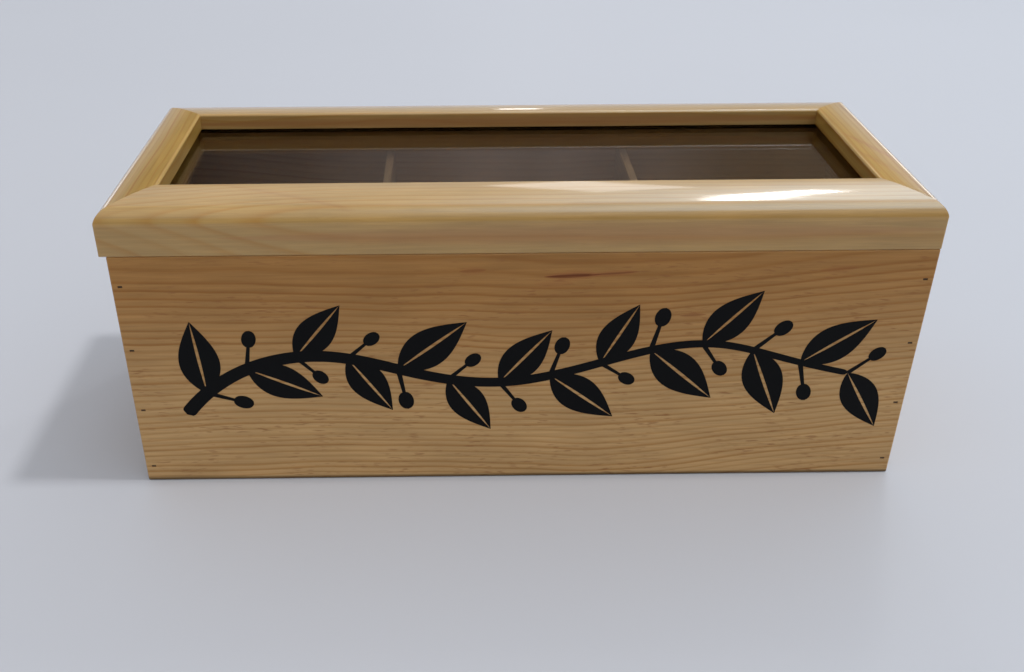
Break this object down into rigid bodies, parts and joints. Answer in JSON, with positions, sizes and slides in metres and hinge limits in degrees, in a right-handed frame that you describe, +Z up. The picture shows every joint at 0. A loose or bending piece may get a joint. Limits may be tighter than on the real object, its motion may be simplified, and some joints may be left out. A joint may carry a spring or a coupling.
{
  "type": "garden seed organizer box",
  "caption": "Long pine box with compartments for seed packets under a hinged lid, a mitred frame of rounded moulding with a glass pane.",
  "frame": {"origin": "centre of the base, on the surface the box stands on", "axes": "+X along the box to the right, -Y towards the front, +Z up"},
  "size_m": [0.3327, 0.126, 0.1345],
  "materials": {
    "pine_board": "clear gloss varnish",
    "pine_moulding": "clear gloss varnish",
    "floor_plywood": "unvarnished, sanded",
    "divider_board": "unvarnished, sanded",
    "pane_glass": "clear float glass",
    "hinge_brass": "satin",
    "brad_steel": "dull, slightly rusted"
  },
  "bodies": {
    "box": {"front_panel": "pine_board", "back_panel": "pine_board", "left_end_panel": "pine_board", "right_end_panel": "pine_board", "floor_panel": "floor_plywood", "left_divider": "divider_board", "right_divider": "divider_board", "front_brads": "brad_steel", "back_brads": "brad_steel", "floor_brads": "brad_steel", "left_hinge_box_leaf": "hinge_brass", "left_hinge_pin": "hinge_brass", "right_hinge_box_leaf": "hinge_brass", "right_hinge_pin": "hinge_brass", "hinge_box_screws": "hinge_brass"},
    "lid": {"lid_front_rail": "pine_moulding", "lid_back_rail": "pine_moulding", "lid_left_rail": "pine_moulding", "lid_right_rail": "pine_moulding", "lid_mitre_nails": "brad_steel", "glass_pane": "pane_glass", "left_hinge_lid_leaf": "hinge_brass", "right_hinge_lid_leaf": "hinge_brass", "hinge_lid_screws": "hinge_brass"}
  },
  "joints": [
    {"name": "lid_hinge", "type": "hinge", "parent": "box", "child": "lid", "pos_m": [0, 0.0629, 0.1125], "axis": [-1, 0, 0], "range_deg": [0, 180]}
  ]
}
